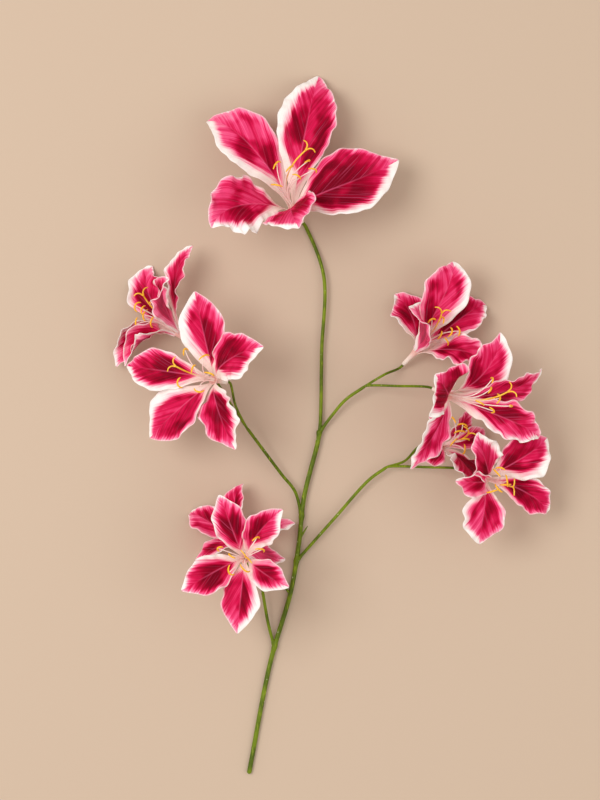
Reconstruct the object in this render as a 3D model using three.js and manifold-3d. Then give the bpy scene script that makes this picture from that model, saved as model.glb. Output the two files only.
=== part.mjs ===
// Cut lily spray: one main stem with four forked side branches and nine five-petalled blooms.
// It lies on a flat surface: the cut end points to -Y, the top bloom to +Y, and the blooms face +Z.
// Millimetres. The origin is under the middle of the spray's box, on the surface that it lies on.

import * as THREE from "three";
import { ParametricGeometry } from "three/addons/geometries/ParametricGeometry.js";
import { mergeGeometries, mergeVertices } from "three/addons/utils/BufferGeometryUtils.js";
import Module from "manifold-3d";

// Driving dimensions.
const mainStemDiameter = 5.4; // from the cut end up to the last branch
const upperStemDiameter = 4.2; // from the last branch up to the top bloom
const branchDiameter = 3.4;
const pedicelDiameter = 2.8; // the thin stalk of each bloom on a side branch
const clearance = 0.3; // between neighbouring pieces
const nodeSwelling = 1.3; // how far the stem swells where a branch leaves it
const nodeLength = 9;

const receptacleLength = 22; // the pale tube that the petals spring from
const receptacleMouthDiameter = 7.6;
const receptacleFootDiameter = 4.4;
const receptacleNeckLength = 9.9; // straight, from its foot up
const mouthLip = 1.5; // how far the mouth's band reaches above and below the throat
const mouthBevel = 0.8;
const petalCount = 5; // in each bloom
const clawLap = 0.88; // how far the claws may lap, as they are thin at their edges
const tipWidth = 1.8; // a petal at its point
const petalThickness = 1.3; // at the middle of the blade
const cupDepth = 0.2; // how far a blade's margins rise, as a share of its half width
const widestPlace = 1.3; // above 1 moves the widest part of a blade towards its tip
const clawTaper = 1.3; // above 1 keeps a blade narrow for longer above its foot
const flare = 0.1; // how soon a petal leaves the bloom's axis, as a share of its length
const plainBow = 0.26; // how far a petal's middle stands forward, as a share of its length
const tipLift = 0.12; // how far a petal still rises near its tip, as a share of its length
const footTurnEnds = 0.45; // of the way along a petal, where its own roll has taken over
const endBluntness = 8; // an even number: a higher one keeps the blade thick nearer its ends
const overlapTwist = 14; // degrees: each petal's foot is turned so that one edge passes its neighbour

const filamentDiameter = 1.2;
const filamentRootRadius = 1.2; // from the bloom's axis
const archHeight = 0.62; // how far up the axis a filament points first, as a share of its reach
const antherLength = 9;
const antherMiddleLength = 3.6; // at its full diameter
const antherDiameter = 2;
const pistilDiameter = 1.5;
const stigmaLobeLength = 8;
const stigmaRise = 0.5; // how far a lobe points forwards for each 1 sideways

const shootDiameter = 3;
const shootShoulderDiameter = 2.4;
const shootShoulderPlace = 0.6; // of the way from its root to its point
const forkStarts = 0.97; // of the way along a curve
const stalkApproach = 6; // straight, below the receptacle
const stemApproach = 10; // straight, below the top receptacle

const petalCellsAcross = 4;
const petalCellsAlong = 8;
const stemSides = 8;
const stemStep = 16;
const branchStep = 10;
const stalkStep = 8;
const filamentSides = 3;
const filamentSteps = 3;
const pistilSteps = 4;

const wasm = await Module();
wasm.setup();

const vector = (x, y, z) => new THREE.Vector3(x, y, z);
const zAxis = vector(0, 0, 1);

// Materials, one for each mesh, by finish.
const finishes = {
  stem: { color: 0x6b8a24, roughness: 0.55, metalness: 0 },
  petal: { color: 0xb80a3c, roughness: 0.8, metalness: 0 },
  centre: { color: 0xf0d9c8, roughness: 0.6, metalness: 0 },
};

// A closed three.js geometry as a solid that can be joined and cut.
function solidOf(geometry) {
  const bare = geometry.clone();
  bare.deleteAttribute("normal");
  bare.deleteAttribute("uv");
  const merged = mergeVertices(bare, 1e-4);
  return new wasm.Manifold(
    new wasm.Mesh({
      numProp: 3,
      vertProperties: new Float32Array(merged.attributes.position.array),
      triVerts: new Uint32Array(merged.index.array),
    }),
  );
}

// A solid back as a named mesh in the finish given.
function meshOf(name, solid, finish) {
  const made = solid.getMesh();
  const geometry = new THREE.BufferGeometry();
  geometry.setAttribute("position", new THREE.BufferAttribute(made.vertProperties, made.numProp));
  geometry.setIndex(new THREE.BufferAttribute(made.triVerts, 1));
  geometry.computeVertexNormals();
  const mesh = new THREE.Mesh(geometry, new THREE.MeshStandardMaterial(finishes[finish]));
  mesh.name = name;
  return mesh;
}

// A round rod of the diameter given, swept along a curve.
function rod(curve, diameter, sides, steps) {
  const section = new THREE.Shape();
  for (let side = 0; side < sides; side++) {
    const angle = (2 * Math.PI * side) / sides;
    const x = (diameter / 2) * Math.cos(angle);
    const y = (diameter / 2) * Math.sin(angle);
    if (side === 0) section.moveTo(x, y);
    else section.lineTo(x, y);
  }
  section.closePath();
  return solidOf(new THREE.ExtrudeGeometry(section, { steps, extrudePath: curve }));
}

// A turned piece: the profile is [radius, height] pairs, from the axis back to the axis, and it
// stands at place with its axis along the direction given.
function turned(profile, sides, place, direction) {
  const points = profile.map(([radius, height]) => new THREE.Vector2(radius, height));
  const geometry = new THREE.LatheGeometry(points, sides);
  const turn = new THREE.Quaternion().setFromUnitVectors(
    vector(0, 1, 0),
    direction.clone().normalize(),
  );
  geometry.applyQuaternion(turn);
  geometry.translate(place.x, place.y, place.z);
  return solidOf(geometry);
}

const stepsFor = (curve, stepLength) => Math.max(4, Math.round(curve.getLength() / stepLength));

// ---------------------------------------------------------------------------------------------
// Blooms. throat is where the petals meet, in the plane of the surface, and facing is the way the
// bloom looks. A bloom with no height rests on the surface with its lowest petal; the others are
// held clear of it, with their throat at the height given. Each petal has its tip's place from the
// throat and its width, and where it isn't plain: roll, in degrees, turns its blade about its
// midrib, bow lifts its middle, and sway bends it sideways. Each stamen is its anther's place
// from the throat, and the pistil is the place of its stigma.
const blooms = {
  top_bloom: {
    throat: [-35, 217],
    facing: [-0.42, 0.58, 0.7],
    petals: [
      { tip: [26, 136, -26], width: 59, roll: 26, sway: -16 },
      { tip: [106, 48, 12], width: 68, roll: 32, sway: -20 },
      { tip: [6, -24, 72], width: 58 },
      { tip: [-80, -23, 60], width: 60, roll: -54, sway: -6 },
      { tip: [-87, 87, 4], width: 58, roll: 10, sway: -17 },
    ],
    stamens: [
      [16, 45, 46],
      [22, 36, 44],
      [5, 30, 42],
      [-2, 39, 44],
      [-16, 43, 42],
      [-17, 21, 40],
    ],
    pistil: [14, 56, 52],
  },
  upper_left_front_bloom: {
    throat: [-114, 44],
    height: 54,
    facing: [-0.55, 0.1, 0.83],
    petals: [
      { tip: [-19, 88, 8], width: 46, roll: 26, sway: -11 },
      { tip: [50, 32, 52], width: 44, sway: 6 },
      { tip: [22, -69, 30], width: 42 },
      { tip: [-64, -58, -6], width: 54, sway: 5 },
      { tip: [-88, 14, -16], width: 42 },
    ],
    stamens: [
      [-28, 30, 36],
      [-20, 12, 38],
      [-35, -4, 34],
      [-8, 24, 38],
      [-14, -12, 36],
      [-2, 6, 40],
    ],
    pistil: [-38, 14, 42],
  },
  upper_left_rear_bloom: {
    throat: [-152, 92],
    facing: [-0.72, 0.62, 0.3],
    petals: [
      { tip: [-26, 68, -18], width: 38, roll: 34, sway: 10 },
      { tip: [16, 87, 14], width: 30, roll: 10, sway: -8 },
      { tip: [-6, 52, 52], width: 30 },
      { tip: [-52, -34, 18], width: 32, roll: -45, bow: 0.42 },
      { tip: [-62, -34, -6], width: 34, roll: -50, bow: 0.38 },
    ],
    stamens: [
      [-42, 27, 14],
      [-35, 23, 22],
      [-34, 18, 8],
      [-26, 10, 18],
      [-41, 8, 16],
      [-28, 30, 4],
    ],
    pistil: [-34, 38, 20],
  },
  lower_left_front_bloom: {
    throat: [-83, -134],
    height: 62,
    facing: [0, 0.1, 1],
    petals: [
      { tip: [-25, 64, 24], width: 34 },
      { tip: [38, 50, 38], width: 34, sway: 6, roll: 10 },
      { tip: [44, -26, 38], width: 30, sway: -4 },
      { tip: [-7, -73, 20], width: 38 },
      { tip: [-62, -30, 26], width: 38 },
    ],
    stamens: [
      [13, 23, 34],
      [18, 11, 34],
      [-26, 12, 32],
      [-14, 5, 36],
      [-15, -12, 33],
      [1, -10, 36],
    ],
    pistil: [2, 4, 42],
  },
  lower_left_rear_bloom: {
    throat: [-85, -121],
    facing: [-0.5, 0.68, 0.52],
    petals: [
      { tip: [0, 60, -2], width: 28, sway: 6 },
      { tip: [52, 20, -4], width: 26, sway: 6 },
      { tip: [42, -16, -2], width: 24, sway: -5 },
      { tip: [-49, -17, -14], width: 28 },
      { tip: [-54, 31, -18], width: 34, sway: 3 },
    ],
    stamens: [
      [-16, 22, 22],
      [-8, 26, 20],
      [-22, 14, 20],
      [-4, 20, 18],
      [-18, 8, 18],
      [-12, 30, 18],
    ],
    pistil: [-14, 18, 26],
  },
  upper_right_outer_bloom: {
    throat: [90, 74],
    facing: [0.6, 0.62, 0.5],
    petals: [
      { tip: [35, 89, 12], width: 45, roll: -28, sway: 7 },
      { tip: [71, 46, -20], width: 38, sway: 3 },
      { tip: [66, -15, 34], width: 31, roll: 38, sway: -2 },
      { tip: [-10, 42, 52], width: 36, sway: 4 },
      { tip: [-22, 57, -15], width: 33, roll: -36, sway: -4 },
    ],
    stamens: [
      [14, 31, 26],
      [23, 15, 30],
      [42, 19, 24],
      [34, 18, 30],
      [26, 32, 22],
      [30, 8, 26],
    ],
    pistil: [24, 38, 34],
  },
  upper_right_front_bloom: {
    throat: [120, 29],
    height: 64,
    facing: [0.68, -0.28, 0.68],
    petals: [
      { tip: [51, 62, 2], width: 43, roll: -32, sway: -12 },
      { tip: [94, 26, -16], width: 28, sway: -6 },
      { tip: [90, -43, -8], width: 33, sway: 7 },
      { tip: [-39, -73, 34], width: 36, sway: -10 },
      { tip: [-16, 20, 56], width: 45, sway: 4 },
    ],
    stamens: [
      [42, 16, 32],
      [40, 6, 36],
      [49, -3, 34],
      [61, -11, 30],
      [43, -16, 32],
      [30, -8, 38],
    ],
    pistil: [58, 4, 42],
  },
  lower_right_rear_bloom: {
    throat: [115, -21],
    height: 21,
    facing: [0.78, 0.1, 0.55],
    petals: [
      { tip: [26, 35, 4], width: 20 },
      { tip: [44, 14, -12], width: 22 },
      { tip: [26, -43, 42], width: 36, roll: 14 },
      { tip: [-22, -12, 30], width: 22 },
      { tip: [-14, 28, 26], width: 20 },
    ],
    stamens: [
      [10, 27, 28],
      [20, 21, 26],
      [17, 14, 30],
      [10, 3, 34],
      [24, 6, 26],
      [22, -6, 26],
    ],
    pistil: [26, 12, 30],
  },
  lower_right_front_bloom: {
    throat: [159, -54],
    height: 43,
    facing: [0.75, -0.3, 0.6],
    petals: [
      { tip: [61, 40, -6], width: 47, roll: -36, sway: 10 },
      { tip: [61, -36, -12], width: 28, sway: 8 },
      { tip: [-8, -66, 6], width: 44, roll: 42, sway: -17 },
      { tip: [-33, -2, 42], width: 23 },
      { tip: [-11, 46, 44], width: 30, sway: 9 },
    ],
    stamens: [
      [11, 11, 36],
      [7, 7, 38],
      [18, -1, 36],
      [17, -6, 34],
      [9, -10, 36],
      [2, -13, 36],
    ],
    pistil: [24, -8, 40],
  },
};

// The feet of a bloom's petals stand round the mouth of its receptacle, and the width of a petal at
// its foot is what the ring has room for.
const feetRadius = receptacleMouthDiameter / 2 + clearance;
const feetSpacing = 2 * feetRadius * Math.sin(Math.PI / petalCount);
const clawWidth = feetSpacing - petalThickness + clawLap;

// Half the width of a blade at v of the way from its foot to its tip.
function halfWidth(width, v) {
  const foot = clawWidth * (1 - v) + tipWidth * v;
  const swell = Math.max(0, Math.sin(Math.PI * v ** widestPlace)) ** clawTaper;
  return (foot + (width - foot) * swell) / 2;
}

// The five directions in which the feet of a bloom's petals stand round its axis, evenly spaced
// and turned so that they follow the petals' tips as closely as they can.
function footDirections(bloom, axis) {
  const right = vector(...bloom.petals[0].tip).cross(axis).normalize();
  const up = axis.clone().cross(right).normalize();
  const spacing = (-2 * Math.PI) / petalCount;
  let sine = 0;
  let cosine = 0;
  bloom.petals.forEach(({ tip }, index) => {
    const point = vector(...tip);
    const offset = Math.atan2(point.dot(up), point.dot(right)) - index * spacing;
    sine += Math.sin(offset);
    cosine += Math.cos(offset);
  });
  const first = Math.atan2(sine, cosine);
  return bloom.petals.map((petal, index) => {
    const angle = first + index * spacing;
    return right.clone().multiplyScalar(Math.cos(angle)).addScaledVector(up, Math.sin(angle));
  });
}

// The triangles of a blade's grid. Both faces use them, so that they don't cross where it twists,
// and the cells are cut from the blade's four corners inwards, so that no corner is lost.
const bladeTriangles = [];
for (let row = 0; row < petalCellsAlong; row++) {
  for (let cell = 0; cell < petalCellsAcross; cell++) {
    const a = row * (petalCellsAcross + 1) + cell;
    const b = a + 1;
    const c = b + petalCellsAcross + 1;
    const d = a + petalCellsAcross + 1;
    const lower = row < petalCellsAlong / 2;
    const near = cell < petalCellsAcross / 2;
    bladeTriangles.push(...(lower === near ? [a, b, c, a, c, d] : [a, b, d, b, c, d]));
  }
}

// One petal as a closed blade, with its throat at the origin. Its inner and outer faces meet in a
// sharp rim. The midrib leaves the mouth of the receptacle along the bloom's axis and turns
// outwards to the tip.
function petalSolid({ tip, width, roll = 0, bow = plainBow, sway = 0 }, axis, footDirection) {
  const point = vector(...tip);
  const length = point.length();
  const sideways = axis.clone().cross(point).normalize();
  const outwards = sideways.clone().cross(axis).normalize();
  const footSideways = axis.clone().cross(footDirection).normalize();
  const foot = footDirection.clone().multiplyScalar(feetRadius);
  const swayed = sideways.clone().multiplyScalar(sway);
  const lower = foot.clone().addScaledVector(axis, bow * length).add(swayed);
  lower.addScaledVector(footDirection, flare * length);
  const upper = point.clone().addScaledVector(outwards, -bow * length).add(swayed);
  upper.addScaledVector(axis, tipLift * length);
  const midrib = new THREE.CubicBezierCurve3(foot, lower, upper, point);

  // One face of the blade, with side running from -1 to 1 across it.
  const across = vector();
  const normal = vector();
  const face = (inner) => {
    const sheet = new ParametricGeometry(
      (u, v, target) => {
        const side = 2 * u - 1;
        const along = Math.min(1, Math.max(0, v));
        const tangent = midrib.getTangent(along);
        const towardsTip = THREE.MathUtils.smoothstep(along, 0, footTurnEnds);
        across.copy(footSideways).lerp(sideways, towardsTip);
        across.addScaledVector(tangent, -across.dot(tangent)).normalize();
        const twist = overlapTwist * (1 - towardsTip) + roll * towardsTip;
        across.applyAxisAngle(tangent, THREE.MathUtils.degToRad(twist));
        normal.crossVectors(tangent, across);
        const half = halfWidth(width, along);
        const rise = cupDepth * half * side * side * Math.sin(Math.PI * along);
        const ends = Math.sqrt(Math.max(0, 1 - (2 * along - 1) ** endBluntness));
        const depth = (petalThickness / 2) * ends * Math.sqrt(Math.max(0, 1 - side * side));
        target.copy(midrib.getPoint(along));
        target.addScaledVector(across, half * side);
        target.addScaledVector(normal, rise + (inner ? depth : -depth));
      },
      petalCellsAcross,
      petalCellsAlong,
    );
    sheet.setIndex(inner ? bladeTriangles.toReversed() : bladeTriangles);
    return sheet;
  };
  return solidOf(mergeGeometries([face(true), face(false)]));
}

// The middle of a bloom, with its throat at the origin: the receptacle tube behind the petals, six
// filaments with their anthers, and the pistil with its forked stigma.
function centreSolid(bloom, axis) {
  const mouth = receptacleMouthDiameter / 2 - clearance;
  const foot = receptacleFootDiameter / 2;
  const profile = [
    [0, -receptacleLength],
    [foot, -receptacleLength],
    [foot, receptacleNeckLength - receptacleLength],
    [mouth, -mouthLip],
    [mouth - mouthBevel, mouthLip],
    [0, mouthLip],
  ];
  let solid = turned(profile, stemSides, vector(0, 0, 0), axis);

  const arching = (place) => {
    const top = vector(...place);
    const root = top.clone().addScaledVector(axis, -top.dot(axis)).setLength(filamentRootRadius);
    const middle = axis.clone().multiplyScalar(archHeight * top.length());
    return new THREE.QuadraticBezierCurve3(root, middle, top);
  };
  for (const place of bloom.stamens) {
    const filament = arching(place);
    solid = solid.add(rod(filament, filamentDiameter, filamentSides, filamentSteps));
    const end = filament.getTangent(1);
    const crossways = end.clone().cross(axis).cross(end).normalize();
    const anther = [
      [0, -antherLength / 2],
      [antherDiameter / 2, -antherMiddleLength / 2],
      [antherDiameter / 2, antherMiddleLength / 2],
      [0, antherLength / 2],
    ];
    solid = solid.add(turned(anther, filamentSides, filament.getPoint(1), crossways));
  }

  const style = arching(bloom.pistil);
  solid = solid.add(rod(style, pistilDiameter, filamentSides, pistilSteps));
  const end = style.getTangent(1);
  const spread = end.clone().cross(zAxis).normalize();
  for (const turn of [-1, 1]) {
    const lobe = end.clone().multiplyScalar(stigmaRise).addScaledVector(spread, turn);
    lobe.setLength(stigmaLobeLength);
    const tip = style.getPoint(1).add(lobe);
    const root = style.getPoint(forkStarts);
    solid = solid.add(rod(new THREE.LineCurve3(root, tip), pistilDiameter, filamentSides, 1));
  }
  return solid;
}

const spray = new THREE.Group();
const seats = {}; // where each bloom's stalk meets its receptacle, and the way it points there

for (const [name, bloom] of Object.entries(blooms)) {
  const axis = vector(...bloom.facing).normalize();
  const feet = footDirections(bloom, axis);
  const pieces = new Map();
  bloom.petals.forEach((petal, index) => {
    pieces.set(name + "_petal_" + (index + 1), petalSolid(petal, axis, feet[index]));
  });
  pieces.set(name + "_centre", centreSolid(bloom, axis));

  const lowest = Math.min(...[...pieces.values()].map((piece) => piece.boundingBox().min[2]));
  const height = bloom.height ?? -lowest;
  const [x, y] = bloom.throat;
  for (const [pieceName, piece] of pieces) {
    const finish = pieceName.endsWith("centre") ? "centre" : "petal";
    spray.add(meshOf(pieceName, piece.translate([x, y, height]), finish));
  }
  const seat = vector(x, y, height).addScaledVector(axis, -receptacleLength - clearance);
  seats[name] = { seat, axis };
}

// ---------------------------------------------------------------------------------------------
// Stems. The main stem runs from the cut end to the top bloom. Its lower part is thicker.
const cutEnd = vector(-80, -356, mainStemDiameter / 2);
const lastNode = vector(-8, -6, 5);
const lowerStem = new THREE.CatmullRomCurve3([
  cutEnd,
  vector(-58, -242, 3.4),
  vector(-37, -169, 4),
  vector(-29, -120, 4.5),
  vector(-24, -75, 4.8),
  vector(-10, -19, 5),
  lastNode,
]);
const topSeat = seats.top_bloom;
const upperStem = new THREE.CatmullRomCurve3([
  vector(-11, -20, 5),
  lastNode,
  vector(-6, 74, 6),
  vector(-4, 150, 7),
  topSeat.seat.clone().addScaledVector(topSeat.axis, -stemApproach),
  topSeat.seat,
]);

// A swollen joint round a stem, at t of the way along its curve.
function swelling(curve, t, diameter) {
  const profile = [
    [0, -nodeLength / 2],
    [diameter / 2, -nodeLength / 2],
    [(diameter + nodeSwelling) / 2, 0],
    [diameter / 2, nodeLength / 2],
    [0, nodeLength / 2],
  ];
  return turned(profile, stemSides, curve.getPointAt(t), curve.getTangentAt(t));
}

// A short pointed shoot that stands off the stem at t, towards the place given from it.
function shoot(curve, t, reach) {
  const direction = vector(...reach);
  const length = direction.length();
  const profile = [
    [0, 0],
    [shootDiameter / 2, 0],
    [shootShoulderDiameter / 2, shootShoulderPlace * length],
    [0, length],
  ];
  return turned(profile, stemSides, curve.getPointAt(t), direction);
}

// How far each branch leaves the main stem from its cut end.
const branchPlaces = {
  upper_right: 355,
  upper_left: 268,
  lower_right: 222,
  lower_left: 132,
};
const alongStem = (distance) => Math.min(1, distance / lowerStem.getLength());

let mainStem = rod(lowerStem, mainStemDiameter, stemSides, stepsFor(lowerStem, stemStep));
mainStem = mainStem.add(rod(upperStem, upperStemDiameter, stemSides, stepsFor(upperStem, stemStep)));
for (const place of Object.values(branchPlaces)) {
  mainStem = mainStem.add(swelling(lowerStem, alongStem(place), mainStemDiameter));
}
mainStem = mainStem.add(shoot(lowerStem, alongStem(245), [6, 13, 2]));
mainStem = mainStem.add(shoot(lowerStem, alongStem(188), [-6, 9, 3]));
spray.add(meshOf("main_stem", mainStem, "stem"));

// The room that the main stem takes, with the clearance round it, for the branches to stop at.
const roomDiameter = mainStemDiameter + nodeSwelling + 2 * clearance;
const lowerRoom = rod(lowerStem, roomDiameter, stemSides, stepsFor(lowerStem, stemStep));
const upperRoom = rod(upperStem, roomDiameter, stemSides, stepsFor(upperStem, stemStep));
const stemRoom = lowerRoom.add(upperRoom);

// A side branch: one stalk from the main stem to the fork, then a thinner stalk to each bloom.
// via lists the places between, and each thin stalk lists its own.
function branch(name, place, via, fork, stalks) {
  const root = lowerStem.getPointAt(alongStem(place));
  const forkPoint = vector(...fork);
  const trunk = new THREE.CatmullRomCurve3([root, ...via.map((at) => vector(...at)), forkPoint]);
  let solid = rod(trunk, branchDiameter, stemSides, stepsFor(trunk, branchStep));
  const leaving = trunk.getTangentAt(forkStarts);
  for (const [bloomName, between] of stalks) {
    const { seat, axis } = seats[bloomName];
    const before = forkPoint.clone().addScaledVector(leaving, -branchDiameter);
    const approach = seat.clone().addScaledVector(axis, -stalkApproach);
    const places = [before, forkPoint, ...between.map((at) => vector(...at)), approach, seat];
    const stalk = new THREE.CatmullRomCurve3(places);
    solid = solid.add(rod(stalk, pedicelDiameter, stemSides, stepsFor(stalk, stalkStep)));
  }
  spray.add(meshOf(name, solid.subtract(stemRoom), "stem"));
}

branch(
  "upper_left_branch",
  branchPlaces.upper_left,
  [
    [-33, -69, 8],
    [-47, -51, 10],
  ],
  [-82, -4, 15],
  [
    ["upper_left_front_bloom", [[-93, 18, 21]]],
    ["upper_left_rear_bloom", [[-106, 32, 14]]],
  ],
);
branch(
  "upper_right_branch",
  branchPlaces.upper_right,
  [
    [5, 9, 8],
    [18, 24, 11],
  ],
  [38, 38, 15],
  [
    ["upper_right_outer_bloom", [[58, 50, 19]]],
    ["upper_right_front_bloom", [[72, 38, 27]]],
  ],
);
branch(
  "lower_right_branch",
  branchPlaces.lower_right,
  [
    [7, -96, 7],
    [42, -57, 9],
  ],
  [60, -44, 10],
  [
    ["lower_right_front_bloom", [[100, -44, 15]]],
    ["lower_right_rear_bloom", [[78, -38, 8]]],
  ],
);
branch(
  "lower_left_branch",
  branchPlaces.lower_left,
  [[-60, -204, 6]],
  [-66, -170, 9],
  [
    ["lower_left_front_bloom", [[-74, -151, 18]]],
    ["lower_left_rear_bloom", [[-70, -152, 6]]],
  ],
);

// The whole spray over the middle of its box, on the surface.
const box = new THREE.Box3().setFromObject(spray);
const middle = box.getCenter(vector());
spray.position.set(-middle.x, -middle.y, -box.min.z);

export default spray;
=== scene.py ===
# Cut lily spray, lying flat: the moulded stems, nine blooms of five printed petals, and their
# stamens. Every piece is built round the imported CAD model, in metres.

import math

import bmesh
import bpy
import numpy as np
from mathutils import Matrix, Vector


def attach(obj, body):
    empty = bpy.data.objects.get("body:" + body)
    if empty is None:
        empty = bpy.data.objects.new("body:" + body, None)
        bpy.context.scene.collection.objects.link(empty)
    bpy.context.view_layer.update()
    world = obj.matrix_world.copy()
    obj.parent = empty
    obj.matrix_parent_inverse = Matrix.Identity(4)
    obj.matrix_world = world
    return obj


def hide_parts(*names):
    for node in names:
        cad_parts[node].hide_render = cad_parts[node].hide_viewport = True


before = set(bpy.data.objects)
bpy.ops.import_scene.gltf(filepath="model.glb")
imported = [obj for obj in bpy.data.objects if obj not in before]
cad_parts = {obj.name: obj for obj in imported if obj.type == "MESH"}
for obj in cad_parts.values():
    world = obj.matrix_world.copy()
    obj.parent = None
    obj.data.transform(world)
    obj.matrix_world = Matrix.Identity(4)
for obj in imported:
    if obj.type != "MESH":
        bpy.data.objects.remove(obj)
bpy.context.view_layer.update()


# ------------------------------------------------------------------------------------------------
# Petals. Each is one blade cut from thin woven fabric, printed in crimson with a white margin and
# heat pressed with a groove down the midrib, a soft cup and a ruffled edge. Its narrow claw is
# glued into the receptacle.

mm = 0.001
blade_thickness = 0.45 * mm
cells_across = 28
cells_along = 60
blade_columns = 5  # places across a CAD blade, the middle one on its midrib
blade_levels = 8  # rows of places past its foot
midrib_column = blade_columns // 2
groove_depth = 0.9 * mm
groove_width = 0.07  # of half the blade's width
pleat_height = 0.25 * mm
ruffle_height = 0.08  # of half the blade's width, at the margin
ruffle_wavelength = 27 * mm
scallop_depth = 0.05  # of half the blade's width
resting_height = 0.4 * mm  # a blade that reaches the surface lies on it
thread_spacing = 0.42 * mm

vein_slant = 1.9  # how far a vein runs towards the tip for each step outwards
fine_veins = 430.0  # in each metre
coarse_streaks = 135.0
thin_margin = 0.2 * mm
broad_margin = 7.5 * mm  # more than the thin one
full_margin_width = 34 * mm  # half the width at which a blade has its margins in full

print_shades = (
    (0.0, "#FF86AA"), (0.22, "#F04A80"), (0.45, "#D3154D"), (0.7, "#A6002C"), (1.0, "#74001A"),
)
vein_pink = "#F0608E"
throat_pink = "#F8C6C7"
petal_white = "#FDF5F2"
claw_cream = "#FAE1D8"
back_pink = "#E9628C"

# Each bloom: the way it faces, and the side of each petal that has the broad white margin, from
# -1 (left, looking from the foot to the tip) to 1.
bloom_facings = {
    "top_bloom": (-0.42, 0.58, 0.7),
    "upper_left_front_bloom": (-0.55, 0.1, 0.83),
    "upper_left_rear_bloom": (-0.72, 0.62, 0.3),
    "lower_left_front_bloom": (0, 0.1, 1),
    "lower_left_rear_bloom": (-0.5, 0.68, 0.52),
    "upper_right_outer_bloom": (0.6, 0.62, 0.5),
    "upper_right_front_bloom": (0.68, -0.28, 0.68),
    "lower_right_rear_bloom": (0.78, 0.1, 0.55),
    "lower_right_front_bloom": (0.75, -0.3, 0.6),
}
broad_margins = {
    "top_bloom": (-1, 1, 0.6, -1, -1),
    "upper_left_front_bloom": (-1, 1, -0.6, 1, -0.7),
    "upper_left_rear_bloom": (-0.3, -0.8, 0.1, -0.6, 0.6),
    "lower_left_front_bloom": (-0.4, 1, 0.6, -1, 0.8),
    "lower_left_rear_bloom": (0.5, 0.5, -0.5, -0.8, 0.8),
    "upper_right_outer_bloom": (1, 0.7, -0.6, 0.5, -0.6),
    "upper_right_front_bloom": (1, 0.3, 0.6, 1, -0.8),
    "lower_right_rear_bloom": (0.3, -0.3, 0.8, 0.6, -0.5),
    "lower_right_front_bloom": (1, -0.5, 1, 0.6, 0.7),
}

# How the press has shaped the blades that differ from the plain ones: ruffle times the height of
# the waves, full times the width, twist turns the outer half about the midrib, and fold rolls both
# margins inwards, in degrees.
pressings = {
    "top_bloom_petal_1": {"ruffle": 0.55},
    "top_bloom_petal_2": {"ruffle": 0.45},
    "top_bloom_petal_3": {"ruffle": 1.1},
    "top_bloom_petal_4": {"ruffle": 1.5},
    "top_bloom_petal_5": {"ruffle": 0.5},
    "upper_left_front_bloom_petal_1": {"ruffle": 0.6},
    "upper_left_front_bloom_petal_2": {"ruffle": 1.5, "full": 1.08},
    "upper_left_front_bloom_petal_3": {"ruffle": 2.2},
    "upper_left_front_bloom_petal_4": {"ruffle": 0.5},
    "upper_left_rear_bloom_petal_1": {"ruffle": 2.0, "full": 1.1},
    "upper_left_rear_bloom_petal_2": {"ruffle": 1.6, "twist": 24},
    "upper_left_rear_bloom_petal_3": {"ruffle": 1.8, "twist": 40, "fold": 20, "full": 1.15},
    "upper_left_rear_bloom_petal_4": {"ruffle": 1.5, "fold": 60, "twist": 30},
    "upper_left_rear_bloom_petal_5": {"ruffle": 1.5, "fold": 50, "full": 1.15},
    "lower_left_rear_bloom_petal_2": {"ruffle": 1.6, "full": 1.25},
    "lower_left_rear_bloom_petal_3": {"ruffle": 1.5, "full": 1.1},
    "upper_right_outer_bloom_petal_1": {"ruffle": 0.7, "full": 1.05},
    "upper_right_outer_bloom_petal_3": {"ruffle": 1.7, "full": 1.2},
    "upper_right_outer_bloom_petal_4": {"ruffle": 1.3, "full": 1.15},
    "upper_right_outer_bloom_petal_5": {"ruffle": 1.4, "full": 1.25},
    "upper_right_front_bloom_petal_2": {"ruffle": 1.6, "twist": 20, "full": 1.15},
    "upper_right_front_bloom_petal_3": {"ruffle": 1.9, "full": 1.1},
    "upper_right_front_bloom_petal_4": {"ruffle": 1.5},
    "upper_right_front_bloom_petal_5": {"ruffle": 1.5, "full": 1.3},
    "lower_right_rear_bloom_petal_1": {"ruffle": 1.4, "full": 1.15},
    "lower_right_rear_bloom_petal_3": {"ruffle": 1.6, "full": 1.4},
    "lower_right_rear_bloom_petal_4": {"ruffle": 1.5, "full": 1.4},
    "lower_right_front_bloom_petal_1": {"ruffle": 0.9, "full": 1.08},
    "lower_right_front_bloom_petal_2": {"ruffle": 1.5, "full": 1.2},
    "lower_right_front_bloom_petal_4": {"ruffle": 1.6, "fold": 30, "full": 1.4},
    "lower_right_front_bloom_petal_5": {"ruffle": 1.6, "full": 1.35},
}


def colour(code):
    """A colour given as #RRGGBB, as the linear values that a shader takes."""
    shares = [int(code[i : i + 2], 16) / 255 for i in (1, 3, 5)]
    return [s / 12.92 if s <= 0.04045 else ((s + 0.055) / 1.055) ** 2.4 for s in shares] + [1]


def set_socket(tree, socket, value):
    """Links a node's output to the socket, or sets the value on it."""
    if isinstance(value, bpy.types.NodeSocket):
        tree.links.new(value, socket)
    elif isinstance(value, str):
        socket.default_value = colour(value)
    else:
        socket.default_value = value


def reckon(tree, operation, *values):
    """A Math node's result."""
    node = tree.nodes.new("ShaderNodeMath")
    node.operation = operation
    for socket, value in zip(node.inputs, values):
        set_socket(tree, socket, value)
    return node.outputs[0]


def fade(tree, value, start, end):
    """0 where the value is at start and 1 where it is at end, with a soft turn at both."""
    node = tree.nodes.new("ShaderNodeMapRange")
    node.interpolation_type = "SMOOTHSTEP"
    for name, given in (("Value", value), ("From Min", start), ("From Max", end)):
        set_socket(tree, node.inputs[name], given)
    return node.outputs["Result"]


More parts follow.
